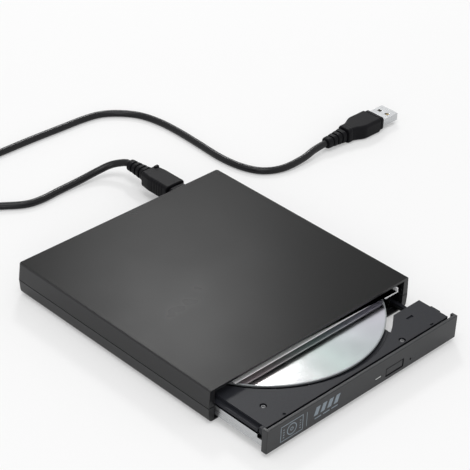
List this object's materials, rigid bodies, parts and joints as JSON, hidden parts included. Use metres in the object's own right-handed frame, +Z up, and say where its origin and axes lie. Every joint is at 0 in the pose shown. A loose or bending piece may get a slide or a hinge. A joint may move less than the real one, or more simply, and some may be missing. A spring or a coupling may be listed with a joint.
{
  "type": "external optical drive",
  "caption": "Slim external optical disc drive: a flat two-part case with its loading tray partly out, a disc on the spindle, and a moulded USB lead.",
  "frame": {"origin": "on the floor under the middle of the footprint that runs from the bezel's front face, tray partly out, to the back of the case", "axes": "+X to the right as seen from the front, +Y from the front to the back (the tray comes out along -Y), +Z up"},
  "size_m": [0.287, 0.2834, 0.0183],
  "materials": {
    "black_plastic": "satin",
    "tray_plastic": "satin",
    "steel": "satin",
    "dark_steel": "satin",
    "silver": "polished",
    "die_cast": "matte",
    "rubber": "matte",
    "lead_plastic": "satin",
    "board": "satin",
    "chip": "satin",
    "ivory": "satin",
    "disc_mirror": "polished",
    "clear": "clear"
  },
  "bodies": {
    "housing": {"bottom_cover": "black_plastic", "top_cover": "black_plastic", "foot_front_left": "rubber", "foot_front_right": "rubber", "foot_rear_left": "rubber", "foot_rear_right": "rubber", "case_screw_left": "dark_steel", "case_screw_right": "dark_steel", "adapter_board": "board", "usb_socket": "silver", "bridge_chip": "chip", "crystal": "silver", "drive_chassis": "dark_steel", "drive_lid": "steel", "left_guide": "black_plastic", "right_guide": "black_plastic", "drive_board": "board", "drive_connector": "ivory", "controller_chip": "chip", "driver_chip": "chip", "latch_pin": "steel", "drive_plug": "lead_plastic", "drive_plug_shell": "silver", "drive_plug_relief": "lead_plastic", "usb_lead": "lead_plastic", "host_plug": "lead_plastic", "host_plug_shell": "silver", "host_plug_relief": "lead_plastic", "host_plug_tongue": "ivory"},
    "left_rail": {"left_rail": "silver"},
    "right_rail": {"right_rail": "dark_steel"},
    "tray": {"tray": "tray_plastic", "bezel": "black_plastic", "tray_shield": "steel", "tray_board": "board", "eject_switch": "ivory", "status_lamp": "clear", "light_pipe": "clear", "traverse_frame": "die_cast", "traverse_cover": "dark_steel", "damper_1": "rubber", "damper_2": "rubber", "damper_3": "rubber", "main_rod": "silver", "sub_rod": "silver", "sled_motor": "steel", "spindle_motor": "steel", "latch_solenoid": "dark_steel", "tray_screw_right": "silver", "tray_screw_left": "silver"},
    "eject_button": {"eject_button": "black_plastic"},
    "latch_hook": {"latch_hook": "dark_steel"},
    "spindle": {"turntable": "silver", "disc_hub": "black_plastic", "disc": "disc_mirror"},
    "lead_screw": {"lead_screw": "silver"},
    "pickup": {"pickup": "die_cast"},
    "lens_mount": {"lens_holder": "chip", "lens": "clear"}
  },
  "joints": [
    {"name": "left_rail_slide", "type": "slide", "parent": "housing", "child": "left_rail", "axis": [0, -1, 0], "range_m": [-0.0297, 0.033]},
    {"name": "tray_slide", "type": "slide", "parent": "left_rail", "child": "tray", "axis": [0, -1, 0], "range_m": [0, 0.066]},
    {"name": "right_rail_slide", "type": "slide", "parent": "housing", "child": "right_rail", "axis": [0, -1, 0], "range_m": [-0.0297, 0.033]},
    {"name": "eject_button_press", "type": "slide", "parent": "tray", "child": "eject_button", "axis": [0, 1, 0], "range_m": [0, 0.0005], "stiffness_N_per_m": 600, "springref_m": -0.0005},
    {"name": "latch_hook_turn", "type": "hinge", "parent": "tray", "child": "latch_hook", "pos_m": [0.05, -0.0745, 0.0068], "axis": [0, 0, 1], "range_deg": [0, 15]},
    {"name": "spindle_spin", "type": "hinge", "parent": "tray", "child": "spindle", "pos_m": [0.0006, -0.0149, 0.011], "axis": [0, 0, 1], "continuous": true},
    {"name": "pickup_slide", "type": "slide", "parent": "tray", "child": "pickup", "axis": [-0.7071, -0.7071, 0], "range_m": [0, 0.034]},
    {"name": "lead_screw_spin", "type": "hinge", "parent": "tray", "child": "lead_screw", "pos_m": [-0.03875, -0.02455, 0.0072], "axis": [-0.7071, -0.7071, 0], "range_deg": [0, 4080]},
    {"name": "lens_focus", "type": "slide", "parent": "pickup", "child": "lens_mount", "axis": [0, 0, 1], "range_m": [-0.0003, 0.0003], "stiffness_N_per_m": 60}
  ],
  "couplings": [
    {"joint": "right_rail_slide", "follows": "left_rail_slide", "ratio": 1},
    {"joint": "lead_screw_spin", "follows": "pickup_slide", "rad_per_m": 2094.2}
  ]
}
